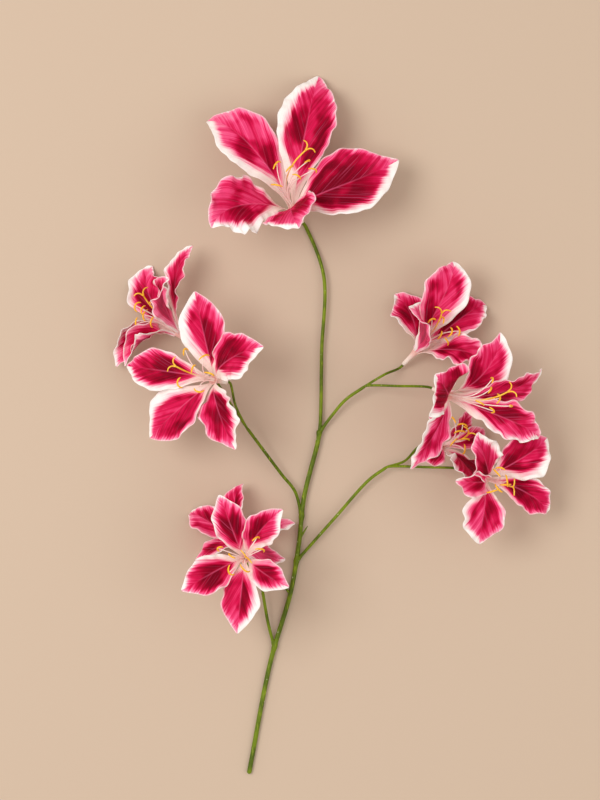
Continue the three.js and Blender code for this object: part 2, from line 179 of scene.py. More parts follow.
def blend_colours(tree, share, first, second):
    """The first colour where the share is 0, and the second where it is 1."""
    node = tree.nodes.new("ShaderNodeMix")
    node.data_type = "RGBA"
    colours = [s for s in node.inputs if s.type == "RGBA"]
    set_socket(tree, node.inputs["Factor"], share)
    set_socket(tree, colours[0], first)
    set_socket(tree, colours[1], second)
    return next(s for s in node.outputs if s.type == "RGBA")


def grain(tree, place, scale, detail=3.0):
    """A noise value round a half, at the places given."""
    node = tree.nodes.new("ShaderNodeTexNoise")
    set_socket(tree, node.inputs["Vector"], place)
    node.inputs["Scale"].default_value = scale
    node.inputs["Detail"].default_value = detail
    return node.outputs["Fac"]


def place_of(tree, *values):
    """Three values as one vector."""
    node = tree.nodes.new("ShaderNodeCombineXYZ")
    for socket, value in zip(node.inputs, values):
        set_socket(tree, socket, value)
    return node.outputs[0]


def attribute_values(tree, name):
    """The three values of an attribute of the piece."""
    read = tree.nodes.new("ShaderNodeAttribute")
    read.attribute_name = name
    apart = tree.nodes.new("ShaderNodeSeparateXYZ")
    tree.links.new(read.outputs["Vector"], apart.inputs[0])
    return list(apart.outputs)


def new_finish(name, roughness):
    """A material with its node tree and its surface shader."""
    finish = bpy.data.materials.new(name)
    finish.use_nodes = True
    tree = finish.node_tree
    surface = next(n for n in tree.nodes if n.type == "BSDF_PRINCIPLED")
    surface.inputs["Roughness"].default_value = roughness
    return finish, tree, surface


def raise_surface(tree, surface, height, distance, strength=1.0):
    """Gives the surface the relief of a height value."""
    bump = tree.nodes.new("ShaderNodeBump")
    bump.inputs["Distance"].default_value = distance
    bump.inputs["Strength"].default_value = strength
    tree.links.new(height, bump.inputs["Height"])
    tree.links.new(bump.outputs[0], surface.inputs["Normal"])


def petal_print(name, back):
    """The printed fabric. The back shows the print paler, as it soaks through."""
    finish, tree, surface = new_finish(name, 0.62)
    side, along, broad = attribute_values(tree, "blade")
    off_rib, run, margin = attribute_values(tree, "measure")
    tone, seed, half_width = attribute_values(tree, "look")
    away = reckon(tree, "ABSOLUTE", off_rib)
    which_side = reckon(tree, "MULTIPLY", reckon(tree, "SIGN", side), 3.0)
    lane = reckon(tree, "ADD", which_side, reckon(tree, "MULTIPLY", seed, 9.0))

    # Veins leave the midrib at a slant and run out to the margin.
    slant = reckon(tree, "MULTIPLY_ADD", away, -vein_slant, run)
    fine = grain(tree, place_of(tree, reckon(tree, "MULTIPLY", slant, fine_veins),
                                reckon(tree, "MULTIPLY", away, 40.0), lane), 1.0, 2.0)
    streaks = grain(tree, place_of(tree, reckon(tree, "MULTIPLY", slant, coarse_streaks),
                                   reckon(tree, "MULTIPLY", away, 34.0), lane), 1.0, 3.0)
    clouds = grain(tree, place_of(tree, reckon(tree, "MULTIPLY", off_rib, 40.0),
                                  reckon(tree, "MULTIPLY", run, 30.0), lane), 1.0, 2.0)
    drift = grain(tree, place_of(tree, which_side, reckon(tree, "MULTIPLY", run, 26.0), lane),
                  1.0, 1.0)

    # The white margin: a thin line that broadens on one side, here and there, at the tip and down
    # the claw, with an edge that feathers along the veins.
    on_broad_side = reckon(tree, "MULTIPLY", broad, reckon(tree, "SIGN", side))
    breadth = reckon(tree, "MULTIPLY_ADD", on_broad_side, 0.8, -0.1)
    breadth = reckon(tree, "MULTIPLY_ADD", reckon(tree, "ADD", drift, -0.45), 2.4, breadth)
    breadth = reckon(tree, "MULTIPLY_ADD", fade(tree, along, 0.84, 0.98), 0.5, breadth)
    breadth = reckon(tree, "MINIMUM", reckon(tree, "MAXIMUM", breadth, 0.0), 1.0)
    band = reckon(tree, "MULTIPLY_ADD", breadth, broad_margin, thin_margin)
    claw_band = 1.5 * mm if back else 4.5 * mm
    band = reckon(tree, "MULTIPLY_ADD", fade(tree, along, 0.45, 0.14), claw_band, band)
    band = reckon(tree, "MULTIPLY", band, fade(tree, half_width, 0, full_margin_width))
    feathered = reckon(tree, "MULTIPLY_ADD", reckon(tree, "ADD", fine, -0.5), 6 * mm, margin)
    feathered = reckon(tree, "MULTIPLY_ADD", reckon(tree, "ADD", streaks, -0.5), 8 * mm, feathered)
    over = reckon(tree, "SUBTRACT", feathered, band)
    white = fade(tree, over, reckon(tree, "MULTIPLY_ADD", band, 0.55, 2.0 * mm), -2.2 * mm)
    line = reckon(tree, "MULTIPLY", fade(tree, margin, 1.8 * mm, 0.3 * mm), 0.55)
    white = reckon(tree, "MAXIMUM", white, line)

    # The print is pink beside the white and at the tip, and deepest round the midrib.
    middle = reckon(tree, "MULTIPLY", fade(tree, along, 0.1, 0.28), fade(tree, along, 0.9, 0.58))
    blotch = reckon(tree, "MULTIPLY", fade(tree, over, 3 * mm, 9 * mm), middle)
    blotch = reckon(tree, "MULTIPLY", blotch, fade(tree, clouds, 0.38, 0.58))
    shade = reckon(tree, "MULTIPLY_ADD", fade(tree, over, 0.5 * mm, 7 * mm), 0.36, 0.03)
    shade = reckon(tree, "MULTIPLY_ADD", blotch, 0.5, shade)
    shade = reckon(tree, "MULTIPLY_ADD", fade(tree, along, 0.6, 1.0), -0.22, shade)
    shade = reckon(tree, "MULTIPLY_ADD", reckon(tree, "ADD", streaks, -0.5), 0.85, shade)
    shade = reckon(tree, "MULTIPLY_ADD", reckon(tree, "ADD", fine, -0.5), 0.45, shade)
    shade = reckon(tree, "ADD", shade, tone)
    ramp = tree.nodes.new("ShaderNodeValToRGB")
    stops = ramp.color_ramp.elements
    while len(stops) < len(print_shades):
        stops.new(0.5)
    for stop, (place, code) in zip(stops, print_shades):
        stop.position = place
        stop.color = colour(code)
    tree.links.new(shade, ramp.inputs["Fac"])
    ground = ramp.outputs["Color"]
    veins = reckon(tree, "MULTIPLY", fade(tree, fine, 0.55, 0.78), 0.32)
    ground = blend_colours(tree, veins, ground, vein_pink)
    rib = fade(tree, away, 1.2 * mm, 0.2 * mm)
    rib = reckon(tree, "MULTIPLY", rib, fade(tree, along, 0.9, 0.3))
    ground = blend_colours(tree, reckon(tree, "MULTIPLY", rib, 0.5), ground, vein_pink)

    # The throat fades to pale pink, with streaks of the print running down into it.
    throat_reach = 0.2 if back else 0.36
    streaked = reckon(tree, "MULTIPLY_ADD", fine, 0.2, along)
    throat = fade(tree, streaked, throat_reach, throat_reach - 0.19)
    ground = blend_colours(tree, throat, ground, throat_pink)

    margin_colour = blend_colours(tree, fade(tree, along, 0.5, 0.15), petal_white, claw_cream)
    printed = blend_colours(tree, white, ground, margin_colour)

    if back:
        printed = blend_colours(tree, 0.28, printed, back_pink)
        printed = blend_colours(tree, reckon(tree, "MULTIPLY", white, 0.8), printed, petal_white)
    tree.links.new(printed, surface.inputs["Base Color"])
    set_socket(tree, surface.inputs["Roughness"], reckon(tree, "MULTIPLY_ADD", fine, 0.2, 0.5))
    surface.inputs["Specular IOR Level"].default_value = 0.05

    # The weave shows as fine crossed threads, over the pressed veins.
    threads = 2 * math.pi / thread_spacing
    warp = reckon(tree, "SINE", reckon(tree, "MULTIPLY", off_rib, threads))
    weft = reckon(tree, "SINE", reckon(tree, "MULTIPLY", run, threads))
    weave = reckon(tree, "MULTIPLY", warp, weft)
    relief = reckon(tree, "MULTIPLY_ADD", weave, 0.06, fine)
    raise_surface(tree, surface, relief, 0.5 * mm)
    return finish


petal_front = petal_print("petal_print", False)
petal_back = petal_print("petal_print_back", True)


def third_corner(face, first, second):
    """The corner of a triangle that isn't one of the two given."""
    return next(v for v in face.verts if v not in (first, second))


def blade_sheets(node):
    """The two faces of a CAD blade, each as rows of places from its foot to its tip."""
    bm = bmesh.new()
    bm.from_mesh(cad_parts[node].data)
    bmesh.ops.remove_doubles(bm, verts=bm.verts, dist=0.01 * mm)

    # The rim runs round the blade in one loop. Its shortest stretch is the tip, so the foot is
    # on the far side of the loop.
    rim = {e for e in bm.edges if e.calc_face_angle(0) > math.radians(100)}
    edge = next(iter(rim))
    loop = [edge.verts[0], edge.verts[1]]
    while True:
        edge = next(e for e in loop[-1].link_edges if e in rim and e is not edge)
        following = edge.other_vert(loop[-1])
        if following is loop[0]:
            break
        loop.append(following)
    count = len(loop)
    steps = [(loop[i].co - loop[(i + 1) % count].co).length for i in range(count)]
    spans = [sum(steps[(i + k) % count] for k in range(blade_columns - 1)) for i in range(count)]
    start = (spans.index(min(spans)) + count // 2) % count
    loop = loop[start:] + loop[:start]
    foot = loop[:blade_columns]
    left = [loop[0]] + loop[: -blade_levels - 1 : -1]

    # Each face of the blade is read row by row, two triangles for each step across.
    sheets = []
    for first_face in bm.edges.get(foot[:2]).link_faces:
        sheet = {first_face}
        waiting = [first_face]
        while waiting:
            for shared in waiting.pop().edges:
                if shared in rim:
                    continue
                for face in shared.link_faces:
                    if face not in sheet:
                        sheet.add(face)
                        waiting.append(face)
        rows = [foot]
        for level in range(1, blade_levels + 1):
            row = [left[level]]
            for first, second in zip(rows[-1], rows[-1][1:]):
                face = next(f for f in bm.edges.get((first, second)).link_faces if f in sheet)
                sheet.remove(face)
                corner = third_corner(face, first, second)
                pair = (second, row[-1]) if corner is row[-1] else (first, corner)
                other = next(f for f in bm.edges.get(pair).link_faces if f in sheet)
                sheet.remove(other)
                row.append(third_corner(other, *pair) if corner is row[-1] else corner)
            rows.append(row)
        sheets.append(np.array([[v.co[:] for v in row] for row in rows]))
    bm.free()
    return sheets


def between(points, where):
    """Places on smooth curves through rows of points, one curve for each value in where."""
    first = 3 * points[:1] - 3 * points[1:2] + points[2:3]
    last = 3 * points[-1:] - 3 * points[-2:-1] + points[-3:-2]
    padded = np.concatenate([first, points, last])
    index = np.clip(np.floor(where).astype(int), 0, len(points) - 2)
    t = (where - index)[:, None]
    every = np.arange(len(where))
    a, b, c, d = (padded[index + k, every] for k in range(4))
    return 0.5 * (2 * b + (c - a) * t + (2 * a - 5 * b + 4 * c - d) * t**2
                  + (3 * b - a - 3 * c + d) * t**3)


def on_blade(rows, side, along):
    """Places on a blade at side (-1 to 1) and along (0 to 1)."""
    count = len(side)
    across = np.stack([
        between(np.repeat(rows[:, column, None], count, axis=1), along * blade_levels)
        for column in range(blade_columns)
    ])
    return between(across, midrib_column + midrib_column * side)


def soft_step(value, start, end):
    """0 where the value is at start and 1 where it is at end, with a soft turn at both."""
    t = np.clip((value - start) / (end - start), 0, 1)
    return t * t * (3 - 2 * t)


def turned(offsets, axes, angles):
    """Offsets turned about axes of length 1, by the angles given in radians."""
    cosine, sine = np.cos(angles)[:, None], np.sin(angles)[:, None]
    along_axis = (offsets * axes).sum(axis=1)[:, None] * axes
    return offsets * cosine + np.cross(axes, offsets) * sine + along_axis * (1 - cosine)


def pressed_blade(name, rows, broad, dice, ruffle=1, full=1, twist=0, fold=0):
    """One petal: a fine grid laid on the CAD blade, then grooved, ruffled, twisted and folded."""
    bm = bmesh.new()
    bm.loops.layers.uv.new("cloth")
    bmesh.ops.create_grid(bm, x_segments=cells_across, y_segments=cells_along, size=1,
                          calc_uvs=True)
    mesh = bpy.data.meshes.new(name)
    bm.to_mesh(mesh)
    bm.free()
    flat = np.array([v.co[:] for v in mesh.vertices])
    side, along = flat[:, 0], (flat[:, 1] + 1) / 2

    half = full * np.linalg.norm(on_blade(rows, np.ones_like(side), along)
                                 - on_blade(rows, np.zeros_like(side), along), axis=1)
    widest = half.max()
    length = np.linalg.norm(np.diff(rows[:, midrib_column], axis=0), axis=1).sum()

    # Waves down each margin: long ones for the ruffle, short ones for the crimped edge.
    phases = dice.uniform(0, 2 * math.pi, (2, 4))
    waves = length / ruffle_wavelength * dice.uniform(0.85, 1.15)
    phase = np.where(side[:, None] < 0, phases[0], phases[1])
    turn = 2 * math.pi * along
    long_wave = np.sin(turn * waves + phase[:, 0] + 0.8 * np.sin(turn * 1.3 + phase[:, 1]))
    short_wave = np.sin(turn * waves * 2.7 + phase[:, 2])
    outer = soft_step(np.abs(side), 0.3, 1.0)
    fullness = soft_step(along, 0.12, 0.4) * soft_step(along, 1.02, 0.85)
    wave = (long_wave + 0.45 * short_wave) * outer * fullness

    scallop = scallop_depth * ruffle * np.sin(turn * waves * 1.4 + phase[:, 3])
    spread = side * (1 + scallop * outer * fullness)
    places = on_blade(rows, spread, along)
    step = 0.02
    towards_side = on_blade(rows, side + step, along) - on_blade(rows, side - step, along)
    towards_tip = on_blade(rows, side, along + step) - on_blade(rows, side, along - step)
    normals = np.cross(towards_side, towards_tip)
    normals /= np.linalg.norm(normals, axis=1)[:, None]

    # The groove of the midrib and the pleats of the claw are pressed in, then the blade is bent.
    rib = np.exp(-((side / groove_width) ** 2)) * np.sin(math.pi * np.clip(along, 0, 1)) ** 0.5
    pleats = np.cos(side * math.pi * 4.5) * soft_step(along, 0.75, 0.1) * (1 - np.abs(side))
    lift = ruffle * ruffle_height * widest * wave - groove_depth * rib + pleat_height * pleats
    midrib = on_blade(rows, np.zeros_like(side), along)
    tangents = towards_tip / np.linalg.norm(towards_tip, axis=1)[:, None]
    offsets = full * (places - midrib) + normals * lift[:, None]
    bending = fullness * np.abs(side) ** 0.7
    inwards = math.radians(fold) * -np.sign(side) * bending
    whole = math.radians(twist) * soft_step(along, 0.3, 0.95)
    places = midrib + turned(offsets, tangents, inwards + whole)
    places[:, 2] = np.maximum(places[:, 2], resting_height)
    mesh.vertices.foreach_set("co", places.ravel())

    # What the print reads at each corner: its place on the blade, and the blade's own look.
    off_rib = side * half
    run = along * length
    margin = (1 - np.abs(side)) * half
    ones = np.ones_like(side)
    for label, values in (
        ("blade", (side, along, broad * ones)),
        ("measure", (off_rib, run, margin)),
        ("look", (dice.uniform(-0.1, 0.12) * ones, dice.uniform(0, 10) * ones, widest * ones)),
    ):
        attribute = mesh.attributes.new(label, "FLOAT_VECTOR", "POINT")
        attribute.data.foreach_set("vector", np.stack(values, axis=1).ravel())
    mesh.materials.append(petal_front)
    mesh.materials.append(petal_back)
    mesh.polygons.foreach_set("use_smooth", [True] * len(mesh.polygons))
    petal = bpy.data.objects.new(name, mesh)
    bpy.context.scene.collection.objects.link(petal)
    wall = petal.modifiers.new("thickness", "SOLIDIFY")
    wall.thickness = blade_thickness
    wall.offset = 0
    wall.material_offset = 1
    return petal


throats = {}
dice = np.random.default_rng(11)
for bloom in bloom_facings:
    blades = [blade_sheets(f"{bloom}_petal_{number}") for number in range(1, 6)]
    feet = [sheets[0][0].mean(axis=0) for sheets in blades]
    throats[bloom] = Vector(np.mean(feet, axis=0))
    for number, (sheets, foot, broad) in enumerate(zip(blades, feet, broad_margins[bloom]), 1):
        rows = (sheets[0] + sheets[1]) / 2
        inwards = sheets[0][1, 2] - sheets[1][1, 2]
        if inwards @ (np.array(throats[bloom]) - foot) < 0:
            inwards = -inwards
        if np.cross(rows[1, 3] - rows[1, 1], rows[2, 2] - rows[0, 2]) @ inwards < 0:
            rows = rows[:, ::-1]
        node = f"{bloom}_petal_{number}"
        petal = pressed_blade(node + "_fabric", rows, broad, dice, **pressings.get(node, {}))
        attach(petal, "root")
        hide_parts(node)


# ------------------------------------------------------------------------------------------------
# Receptacles. Each is a pale tube moulded in soft plastic. It slides over the end of the stalk,
# and the claws of the five petals and the stamens are glued into its mouth.

receptacle_length = 22 * mm
receptacle_sides = 28
receptacle_profile = [  # radius and height from the mouth, in mm
    (0, -22.3),
    (1.7, -22.3),
    (2.15, -21.6),
    (2.2, -16),
    (2.5, -9),
    (3.5, -2.5),
    (4.55, 0.6),
    (4.75, 1.8),
    (4.5, 2.3),
    (3.9, 1.9),
    (3.2, 0.4),
    (1.6, -0.6),
    (0, -0.8),
]


def satin_plastic(name, low_colour, high_colour, mottle, roughness=0.45):
    """Moulded plastic whose colour drifts between two shades."""
    finish, tree, surface = new_finish(name, roughness)
    coordinates = tree.nodes.new("ShaderNodeTexCoord").outputs["Object"]
    clouds = grain(tree, coordinates, mottle, 4.0)
    shade = blend_colours(tree, fade(tree, clouds, 0.35, 0.65), low_colour, high_colour)
    tree.links.new(shade, surface.inputs["Base Color"])
    fine = grain(tree, coordinates, 1600.0, 2.0)
    set_socket(tree, surface.inputs["Roughness"],
               reckon(tree, "MULTIPLY_ADD", fine, 0.2, roughness - 0.1))
    raise_surface(tree, surface, fine, 0.12 * mm, 0.6)
    return finish


def tint_along(finish, attribute, start, end, tint):
    """Gives the finish another colour where the piece's attribute rises from start to end."""
    tree = finish.node_tree
    surface = next(n for n in tree.nodes if n.type == "BSDF_PRINCIPLED")
    plain = surface.inputs["Base Color"].links[0].from_socket
    share = fade(tree, attribute_values(tree, attribute)[0], start, end)
    tree.links.new(blend_colours(tree, share, plain, tint), surface.inputs["Base Color"])


receptacle_plastic = satin_plastic("receptacle_plastic", "#F4E3D6", "#F9EEE4", 160.0)
tint_along(receptacle_plastic, "rise", 0.3, 0.95, "#F2BDB4")


def shown(name, bm, finish):
    """The bmesh as a smooth object in the finish given."""
    mesh = bpy.data.meshes.new(name)
    bm.to_mesh(mesh)
    bm.free()
    mesh.materials.append(finish)
    mesh.polygons.foreach_set("use_smooth", [True] * len(mesh.polygons))
    piece = bpy.data.objects.new(name, mesh)
    bpy.context.scene.collection.objects.link(piece)
    return piece


def add_attribute(piece, name, values):
    """Keeps one value for each corner of the piece, for its finish to read."""
    attribute = piece.data.attributes.new(name, "FLOAT_VECTOR", "POINT")
    attribute.data.foreach_set("vector", np.repeat(values, 3))


def receptacle(name, throat, axis):
    """The profile turned about its axis, with its mouth at the throat."""
    bm = bmesh.new()
    corners = [
        bm.verts.new((radius * mm, 0, height * mm)) for radius, height in receptacle_profile
    ]
    edges = [bm.edges.new(pair) for pair in zip(corners, corners[1:])]
    bmesh.ops.spin(bm, geom=corners + edges, cent=(0, 0, 0), axis=(0, 0, 1), dvec=(0, 0, 0),
                   angle=2 * math.pi, steps=receptacle_sides, use_merge=True)
    bmesh.ops.remove_doubles(bm, verts=bm.verts, dist=0.01 * mm)
    bmesh.ops.recalc_face_normals(bm, faces=bm.faces)
    rises = [1 + v.co.z / receptacle_length for v in bm.verts]
    turn = Vector((0, 0, 1)).rotation_difference(axis).to_matrix().to_4x4()
    bmesh.ops.transform(bm, matrix=Matrix.Translation(throat) @ turn, verts=bm.verts)
    tube = shown(name, bm, receptacle_plastic)
    add_attribute(tube, "rise", rises)
    return tube


facings = {bloom: Vector(facing).normalized() for bloom, facing in bloom_facings.items()}
for bloom, throat in throats.items():
    tube = receptacle(bloom + "_receptacle", throat, facings[bloom])
    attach(tube, "root")
    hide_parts(bloom + "_centre")


# ------------------------------------------------------------------------------------------------
# Stamens and pistils. Each bloom has six filaments of thin pale plastic that arch out of the
# throat, each with a curling orange-yellow anther across its end, and a longer yellow pistil whose
# stigma forks in two.

filament_radii = (0.75, 0.5)  # at the root and the top, in mm
anther_lengths = (12, 17)  # the shortest and the longest, in mm
anther_bends = (0.8, 1.5)  # half the angle that an anther curls through, in radians
anther_radius = 0.9 * mm
pistil_radii = (0.8, 0.75)  # these and the lobes' radii are in mm
lobe_radii = (0.85, 0.55)

# The place of each anther and of each stigma, in millimetres from the throat.
stamen_places = {
    "top_bloom": [(16, 45, 46), (22, 36, 44), (5, 30, 42), (-2, 39, 44), (-16, 43, 42),
                  (-17, 21, 40)],
    "upper_left_front_bloom": [(-28, 30, 36), (-20, 12, 38), (-35, -4, 34), (-8, 24, 38),
                               (-14, -12, 36), (-2, 6, 40)],
    "upper_left_rear_bloom": [(-42, 27, 14), (-35, 23, 22), (-34, 18, 8), (-26, 10, 18),
                              (-41, 8, 16), (-28, 30, 4)],
    "lower_left_front_bloom": [(13, 23, 34), (18, 11, 34), (-26, 12, 32), (-14, 5, 36),
                               (-15, -12, 33), (1, -10, 36)],
    "lower_left_rear_bloom": [(-16, 22, 22), (-8, 26, 20), (-22, 14, 20), (-4, 20, 18),
                              (-18, 8, 18), (-12, 30, 18)],
    "upper_right_outer_bloom": [(14, 31, 26), (23, 15, 30), (42, 19, 24), (34, 18, 30),
                                (26, 32, 22), (30, 8, 26)],
    "upper_right_front_bloom": [(42, 16, 32), (40, 6, 36), (49, -3, 34), (61, -11, 30),
                                (43, -16, 32), (30, -8, 38)],
    "lower_right_rear_bloom": [(10, 27, 28), (20, 21, 26), (17, 14, 30), (10, 3, 34),
                               (24, 6, 26), (22, -6, 26)],
    "lower_right_front_bloom": [(11, 11, 36), (7, 7, 38), (18, -1, 36), (17, -6, 34),
                                (9, -10, 36), (2, -13, 36)],
}
stigma_places = {
    "top_bloom": (14, 56, 52),
    "upper_left_front_bloom": (-38, 14, 42),
    "upper_left_rear_bloom": (-34, 38, 20),
    "lower_left_front_bloom": (2, 4, 42),
    "lower_left_rear_bloom": (-14, 18, 26),
    "upper_right_outer_bloom": (24, 38, 34),
    "upper_right_front_bloom": (58, 4, 42),
    "lower_right_rear_bloom": (26, 12, 30),
    "lower_right_front_bloom": (24, -8, 40),
}

filament_plastic = satin_plastic("filament_plastic", "#F8D3CE", "#FFF0E8", 120.0)
anther_foam = satin_plastic("anther_foam", "#F6A70C", "#FFD038", 900.0, 0.8)
pistil_plastic = satin_plastic("pistil_plastic", "#F3AE14", "#FFD044", 200.0)
tint_along(pistil_plastic, "reach", 0.65, 0.35, "#F8DDD0")


def curve_through(places, step):
    """Points about a step apart on a smooth curve through the places."""
    points = [Vector(p) for p in places]
    points = [2 * points[0] - points[1], *points, 2 * points[-1] - points[-2]]
    made = []
    for p0, p1, p2, p3 in zip(points, points[1:], points[2:], points[3:]):
        k0, k1, k2 = ((b - a).length ** 0.5 for a, b in ((p0, p1), (p1, p2), (p2, p3)))
        t1, t2, t3 = k0, k0 + k1, k0 + k1 + k2
        count = max(1, round((p2 - p1).length / step))
        for i in range(count):
            t = t1 + k1 * i / count
            a1 = p0.lerp(p1, t / t1)
            a2 = p1.lerp(p2, (t - t1) / k1)
            a3 = p2.lerp(p3, (t - t2) / k2)
            b1 = a1.lerp(a2, t / t2)
            b2 = a2.lerp(a3, (t - t1) / (t3 - t1))
            made.append(b1.lerp(b2, (t - t1) / k1))
    return made + [points[-2]]


def add_rod(bm, points, radii, sides):
    """Sweeps a ring along the points, with the radii given, and closes both ends."""
    ways = [(b - a).normalized() for a, b in zip(points, points[1:])]
    ways = [ways[0]] + [(a + b).normalized() for a, b in zip(ways, ways[1:])] + [ways[-1]]
    turn = Vector((0, 0, 1)).rotation_difference(ways[0])
    ring = bmesh.ops.create_circle(bm, cap_ends=False, segments=sides, radius=1)["verts"]
    flat = [v.co.copy() for v in ring]
    edges = list({e for v in ring for e in v.link_edges})
    for index, (point, way, radius) in enumerate(zip(points, ways, radii)):
        if index:
            turn = ways[index - 1].rotation_difference(way) @ turn
            made = bmesh.ops.extrude_edge_only(bm, edges=edges)["geom"]
            edges = [g for g in made if isinstance(g, bmesh.types.BMEdge)]
            ring = ordered_ring(ring, made)
        for corner, offset in zip(ring, flat):
            corner.co = point + turn @ (offset * radius)
        if index == 0:
            first_edges = edges
    bmesh.ops.contextual_create(bm, geom=first_edges)
    bmesh.ops.contextual_create(bm, geom=edges)


def ordered_ring(ring, made):
    """The new ring's corners in the order of the ring that they were extruded from."""
    fresh = {g for g in made if isinstance(g, bmesh.types.BMVert)}
    return [next(e.other_vert(v) for e in v.link_edges if e.other_vert(v) in fresh) for v in ring]


def arching(axis, top, root_radius=1.3 * mm):
    """The places that a filament passes, from the throat to its top."""
    outwards = top - axis * top.dot(axis)
    root = outwards.normalized() * root_radius - axis * 0.6 * mm
    middle = axis * (0.62 * top.length)
    return [root * (1 - t) ** 2 + middle * 2 * t * (1 - t) + top * t * t
            for t in (0, 0.2, 0.4, 0.6, 0.8, 1)]


def curl(top, way, crossways, length, bend):
    """Points on an arc across the end of a filament."""
    points = []
    for t in np.linspace(-1, 1, 11):
        angle = bend * t
        forward = way * (math.cos(angle) - 1) * length / (2 * bend)
        points.append(top + forward + crossways * (math.sin(angle) * length / (2 * bend)))
    return points


for bloom, throat in throats.items():
    axis = facings[bloom]
    filaments, anthers, pistils = bmesh.new(), bmesh.new(), bmesh.new()
    for place in stamen_places[bloom]:
        path = [throat + p for p in arching(axis, Vector(place) * mm)]
        points = curve_through(path, 2.5 * mm)
        taper = np.linspace(*filament_radii, len(points)) * mm
        add_rod(filaments, points, taper, 8)
        way = (points[-1] - points[-2]).normalized()
        spin = Matrix.Rotation(dice.uniform(-0.9, 0.9), 3, way)
        crossways = spin @ way.cross(axis).cross(way).normalized()
        length = dice.uniform(*anther_lengths) * mm
        bend = dice.uniform(*anther_bends)
        arc = curl(points[-1], way, crossways, length, bend)
        arc = curve_through(arc, 0.9 * mm)
        share = np.linspace(-1, 1, len(arc))
        radii = (0.25 + 0.75 * np.sqrt(1 - share**2 * 0.94)) * anther_radius
        add_rod(anthers, arc, radii, 10)
    path = [throat + p for p in arching(axis, Vector(stigma_places[bloom]) * mm)]
    points = curve_through(path, 2.5 * mm)
    add_rod(pistils, points, np.linspace(*pistil_radii, len(points)) * mm, 10)
    way = (points[-1] - points[-2]).normalized()
    spread = way.cross(Vector((0, 0, 1))).normalized()
    for hand in (-1, 1):
        lobe = [points[-2], points[-1] + way * 2.2 * mm + spread * hand * 1.8 * mm,
                points[-1] + way * 4.2 * mm + spread * hand * 5 * mm,
                points[-1] + way * 3.4 * mm + spread * hand * 8.4 * mm]
        lobe = curve_through(lobe, 1.2 * mm)
        add_rod(pistils, lobe, np.linspace(*lobe_radii, len(lobe)) * mm, 10)
    for name, bm, finish, slot in (
        ("filaments", filaments, filament_plastic, "centre"),
        ("anthers", anthers, anther_foam, "anther"),
        ("pistil", pistils, pistil_plastic, "anther"),
    ):
        bmesh.ops.recalc_face_normals(bm, faces=bm.faces)
        piece = shown(f"{bloom}_{name}", bm, finish)
        places = np.array([v.co[:] for v in piece.data.vertices]) - np.array(throat)
        reaches = np.linalg.norm(places, axis=1)
        add_attribute(piece, "reach", reaches / reaches.max())
        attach(piece, "root")
        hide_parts(bloom + "_centre")


# ------------------------------------------------------------------------------------------------
# Stems. The main stem and the side branches are green plastic moulded over wire. Each branch is
# plugged into a swollen joint of the main stem, and forks into two thin stalks.

main_radius = 2.35  # this and the other radii are in mm
upper_radius = 1.8
branch_radius = 1.6
stalk_radius = 1.3
joint_swelling = 0.75 * mm
joint_reach = 3 * mm
end_rounding = 1.4 * mm
stalk_grip = 3 * mm  # how far a stalk reaches into its receptacle
shoot_radii = (1.6, 0.35)
point_spacing = 1.5 * mm


def stem_plastic():
    """Green moulded plastic with faint lengthwise streaks and a few pale nicks from the mould. The
    streaks are a relief, and their lighter colour is painted highlight.
    """
    finish, tree, surface = new_finish("stem_plastic", 0.42)
    coordinates = tree.nodes.new("ShaderNodeTexCoord").outputs["Object"]
    clouds = grain(tree, coordinates, 45.0, 3.0)
    shade = blend_colours(tree, fade(tree, clouds, 0.35, 0.65), "#4B5E00", "#748806")
    mapping = tree.nodes.new("ShaderNodeMapping")
    mapping.inputs["Scale"].default_value = (1, 0.12, 1)
    tree.links.new(coordinates, mapping.inputs["Vector"])
    streaks = grain(tree, mapping.outputs[0], 900.0, 3.0)
    # Painted highlight: the streaks are lightened towards #93A51C, standing in for the light that
    # runs along the stems.
    shade = blend_colours(tree, fade(tree, streaks, 0.55, 0.75), shade, "#93A51C")
    nicks = fade(tree, grain(tree, coordinates, 230.0, 1.0), 0.72, 0.78)
    shade = blend_colours(tree, reckon(tree, "MULTIPLY", nicks, 0.7), shade, "#C9D0A0")
    tree.links.new(shade, surface.inputs["Base Color"])
    surface.inputs["Specular IOR Level"].default_value = 0.22
    fine = grain(tree, coordinates, 1500.0, 2.0)
    set_socket(tree, surface.inputs["Roughness"], reckon(tree, "MULTIPLY_ADD", fine, 0.22, 0.33))
    raise_surface(tree, surface, streaks, 0.25 * mm, 0.7)
    return finish


stem_green = stem_plastic()

# The stems' places are in millimetres, set out with the top bloom's throat at drawn_throat, and
# shifted so that it lies where the CAD has it.
drawn_throat = Vector((-35, 217, 0))
shift = Vector(throats["top_bloom"]) / mm - drawn_throat
shift.z = 0


def at(*place):
    """A place of the stems, given in millimetres, as it is in the frame."""
    return (Vector(place) + shift) * mm


def stem_radii(points, radius, joints=(), rounded=(True, True)):
    """The radius at each point, swollen at the joints and rounded off at the ends."""
    run = np.cumsum([0.0] + [(b - a).length for a, b in zip(points, points[1:])])
    radii = np.full(len(points), radius * mm)
    for joint in joints:
        radii += joint_swelling * np.exp(-(((run - joint * mm) / joint_reach) ** 2))
    for end, distance in enumerate((run, run[-1] - run)):
        if rounded[end]:
            share = np.clip(distance / end_rounding, 0, 1)
            radii *= np.sqrt(np.clip(1 - (1 - share) ** 2, 0.02, 1))
    return radii


def finish_stem(name, bm, node):
    """Makes the stem a piece that stands for its CAD node."""
    bmesh.ops.recalc_face_normals(bm, faces=bm.faces)
    piece = shown(name, bm, stem_green)
    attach(piece, "root")
    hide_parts(node)


